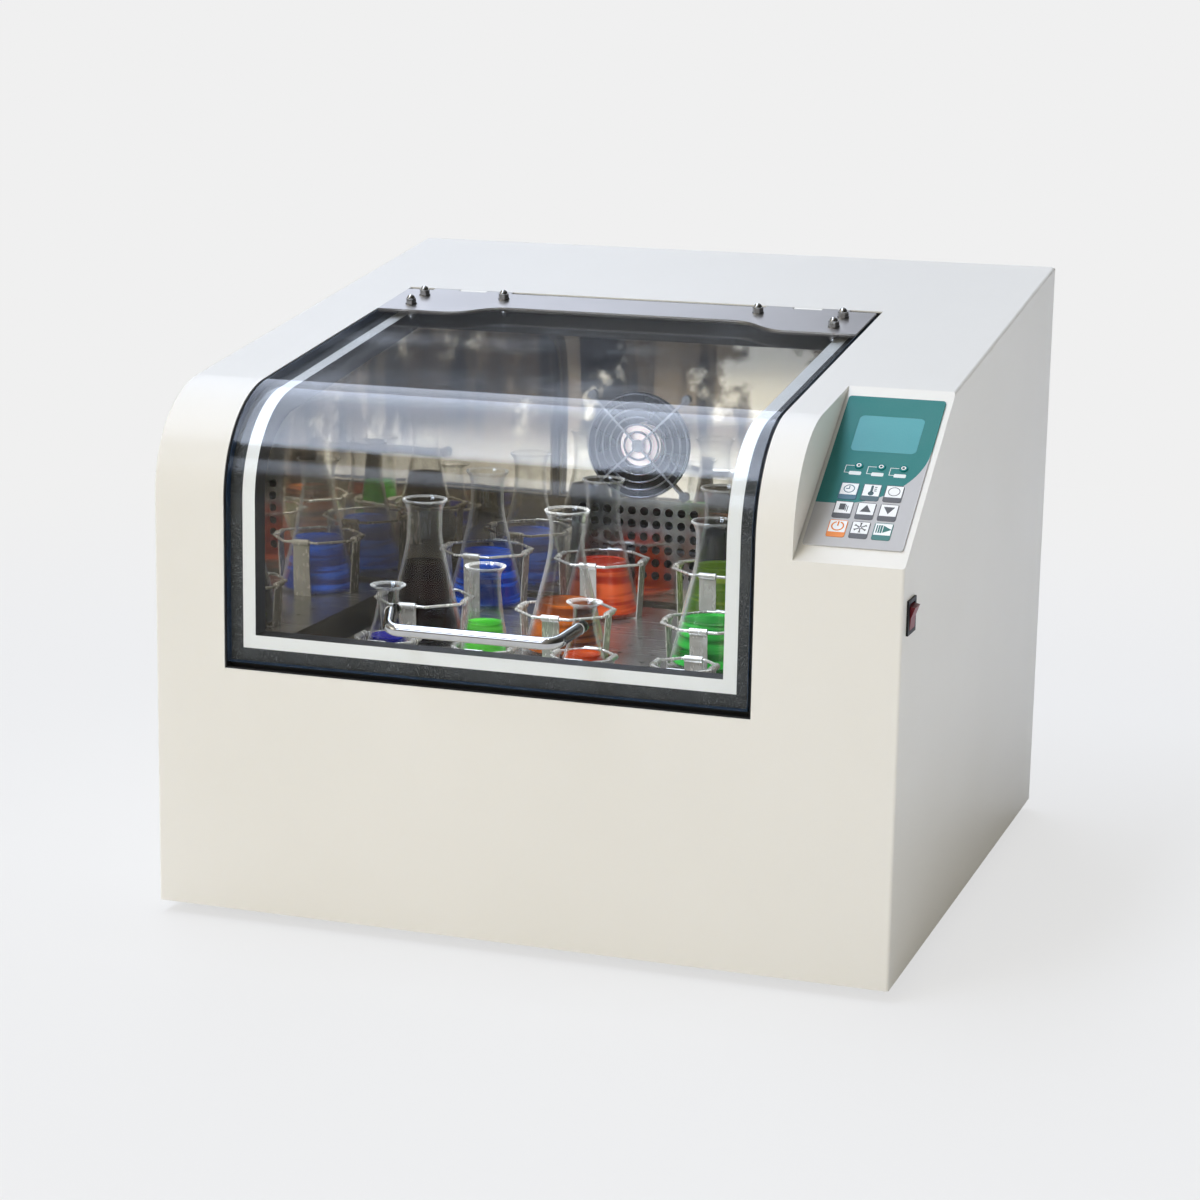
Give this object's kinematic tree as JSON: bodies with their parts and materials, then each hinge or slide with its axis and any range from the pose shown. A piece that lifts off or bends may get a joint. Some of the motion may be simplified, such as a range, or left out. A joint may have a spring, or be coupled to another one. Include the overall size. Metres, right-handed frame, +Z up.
{
  "type": "incubated benchtop shaker",
  "caption": "Benchtop incubator shaker: curved clear lid on a sheet-metal cabinet, orbiting platform with wire flask clamps, chamber fan, sloped key panel and side rocker switch.",
  "frame": {"origin": "centre of the bottom of the object's bounding box, on the bench under the feet", "axes": "+X to the right seen from the front, +Y to the back, +Z up"},
  "size_m": [0.7466, 0.7425, 0.615],
  "materials": {
    "cabinet_paint": "fine powder coat, off-white",
    "steel_sheet": "brushed stainless",
    "steel_polished": "polished stainless",
    "zinc_steel": "zinc-plated",
    "acrylic": "clear",
    "glassware": "clear borosilicate",
    "gasket_foam": "matt foam",
    "white_plastic": "satin",
    "black_plastic": "satin",
    "rubber_black": "matt",
    "insulation_foam": "rigid foam",
    "overlay_film": "satin printed film",
    "display_glass": "tinted",
    "lamp_clear": "clear lens",
    "key_white": "satin",
    "rocker_red": "gloss",
    "motor_paint": "satin black",
    "cast_alloy": "machined",
    "steel_dark": "ground",
    "cast_iron_grey": "painted casting",
    "board_green": "solder mask"
  },
  "bodies": {
    "cabinet": {"outer_casing": "cabinet_paint", "base_pan": "zinc_steel", "feet": "rubber_black", "rear_cover": "cabinet_paint", "rear_cover_screws": "steel_dark", "power_inlet": "black_plastic", "lid_seat_frame": "steel_sheet", "seat_gasket": "gasket_foam", "seal_strip": "white_plastic", "chamber_liner": "steel_polished", "chamber_insulation": "insulation_foam", "return_grille": "steel_polished", "fan_guard": "steel_polished", "fan_housing": "black_plastic", "plenum_box": "steel_sheet", "heater_element": "steel_dark", "evaporator_coil": "cast_alloy", "compressor": "motor_paint", "condenser": "cast_alloy", "hinge_body_leaves": "steel_sheet", "hinge_pins": "steel_dark", "panel_overlay": "overlay_film", "display_window": "display_glass", "indicator_leds": "lamp_clear", "control_board": "board_green", "switch_bezel": "black_plastic", "drive_deck": "zinc_steel", "main_bearing_housing": "cast_alloy", "drive_belt": "rubber_black", "drive_motor": "motor_paint", "idler_bases": "cast_alloy"},
    "lid": {"lid_panel": "acrylic", "hinge_plate": "steel_sheet", "acorn_nuts": "steel_polished", "lid_bolts": "steel_dark", "lid_handle": "steel_polished"},
    "drive_crank": {"main_shaft": "steel_dark", "driven_pulley": "cast_alloy", "counterweight": "cast_iron_grey"},
    "platform": {"platform_plate": "steel_sheet", "platform_bearings": "cast_alloy", "clamps_large": "steel_polished", "clamps_small": "steel_polished", "flasks_large": "glassware", "flasks_small": "glassware"},
    "motor_rotor": {"motor_pulley": "steel_dark"},
    "fan": {"fan_impeller": "white_plastic"},
    "rocker": {"power_rocker": "rocker_red"},
    "idler_1": {"idler_crank_1": "steel_dark"},
    "idler_2": {"idler_crank_2": "steel_dark"},
    "idler_3": {"idler_crank_3": "steel_dark"},
    "button_1": {"key_1": "key_white"},
    "button_2": {"key_2": "key_white"},
    "button_3": {"key_3": "key_white"},
    "button_4": {"key_4": "key_white"},
    "button_5": {"key_5": "key_white"},
    "button_6": {"key_6": "key_white"},
    "button_7": {"key_7": "key_white"},
    "button_8": {"key_8": "key_white"},
    "button_9": {"key_9": "key_white"}
  },
  "joints": [
    {"name": "lid_hinge", "type": "hinge", "parent": "cabinet", "child": "lid", "pos_m": [-0.0353, 0.13091, 0.5756], "axis": [-1, 0, 0], "range_deg": [0, 75]},
    {"name": "drive_spin", "type": "hinge", "parent": "cabinet", "child": "drive_crank", "pos_m": [-0.0343, -0.08725, 0.153], "axis": [0, 0, 1], "continuous": true},
    {"name": "platform_orbit", "type": "hinge", "parent": "drive_crank", "child": "platform", "pos_m": [-0.0243, -0.08725, 0.248], "axis": [0, 0, 1], "continuous": true},
    {"name": "motor_spin", "type": "hinge", "parent": "cabinet", "child": "motor_rotor", "pos_m": [0.1157, -0.08725, 0.099], "axis": [0, 0, 1], "continuous": true},
    {"name": "fan_spin", "type": "hinge", "parent": "cabinet", "child": "fan", "pos_m": [-0.0313, 0.13025, 0.425], "axis": [0, -1, 0], "continuous": true},
    {"name": "rocker_tilt", "type": "hinge", "parent": "cabinet", "child": "rocker", "pos_m": [0.3647, -0.30075, 0.358], "axis": [0, -1, 0], "range_deg": [0, 24]},
    {"name": "idler_1_spin", "type": "hinge", "parent": "cabinet", "child": "idler_1", "pos_m": [-0.1843, -0.21725, 0.212], "axis": [0, 0, 1], "continuous": true},
    {"name": "idler_2_spin", "type": "hinge", "parent": "cabinet", "child": "idler_2", "pos_m": [0.1157, -0.21725, 0.212], "axis": [0, 0, 1], "continuous": true},
    {"name": "idler_3_spin", "type": "hinge", "parent": "cabinet", "child": "idler_3", "pos_m": [-0.0343, 0.04275, 0.212], "axis": [0, 0, 1], "continuous": true},
    {"name": "key_1_press", "type": "slide", "parent": "cabinet", "child": "button_1", "axis": [0, 0.5764, -0.8171], "range_m": [0, 0.0005], "stiffness_N_per_m": 2000},
    {"name": "key_2_press", "type": "slide", "parent": "cabinet", "child": "button_2", "axis": [0, 0.5764, -0.8171], "range_m": [0, 0.0005], "stiffness_N_per_m": 2000},
    {"name": "key_3_press", "type": "slide", "parent": "cabinet", "child": "button_3", "axis": [0, 0.5764, -0.8171], "range_m": [0, 0.0005], "stiffness_N_per_m": 2000},
    {"name": "key_4_press", "type": "slide", "parent": "cabinet", "child": "button_4", "axis": [0, 0.5764, -0.8171], "range_m": [0, 0.0005], "stiffness_N_per_m": 2000},
    {"name": "key_5_press", "type": "slide", "parent": "cabinet", "child": "button_5", "axis": [0, 0.5764, -0.8171], "range_m": [0, 0.0005], "stiffness_N_per_m": 2000},
    {"name": "key_6_press", "type": "slide", "parent": "cabinet", "child": "button_6", "axis": [0, 0.5764, -0.8171], "range_m": [0, 0.0005], "stiffness_N_per_m": 2000},
    {"name": "key_7_press", "type": "slide", "parent": "cabinet", "child": "button_7", "axis": [0, 0.5764, -0.8171], "range_m": [0, 0.0005], "stiffness_N_per_m": 2000},
    {"name": "key_8_press", "type": "slide", "parent": "cabinet", "child": "button_8", "axis": [0, 0.5764, -0.8171], "range_m": [0, 0.0005], "stiffness_N_per_m": 2000},
    {"name": "key_9_press", "type": "slide", "parent": "cabinet", "child": "button_9", "axis": [0, 0.5764, -0.8171], "range_m": [0, 0.0005], "stiffness_N_per_m": 2000}
  ],
  "couplings": [
    {"joint": "platform_orbit", "follows": "drive_spin", "ratio": -1},
    {"joint": "motor_spin", "follows": "drive_spin", "ratio": 3},
    {"joint": "idler_1_spin", "follows": "drive_spin", "ratio": 1},
    {"joint": "idler_2_spin", "follows": "drive_spin", "ratio": 1},
    {"joint": "idler_3_spin", "follows": "drive_spin", "ratio": 1}
  ]
}
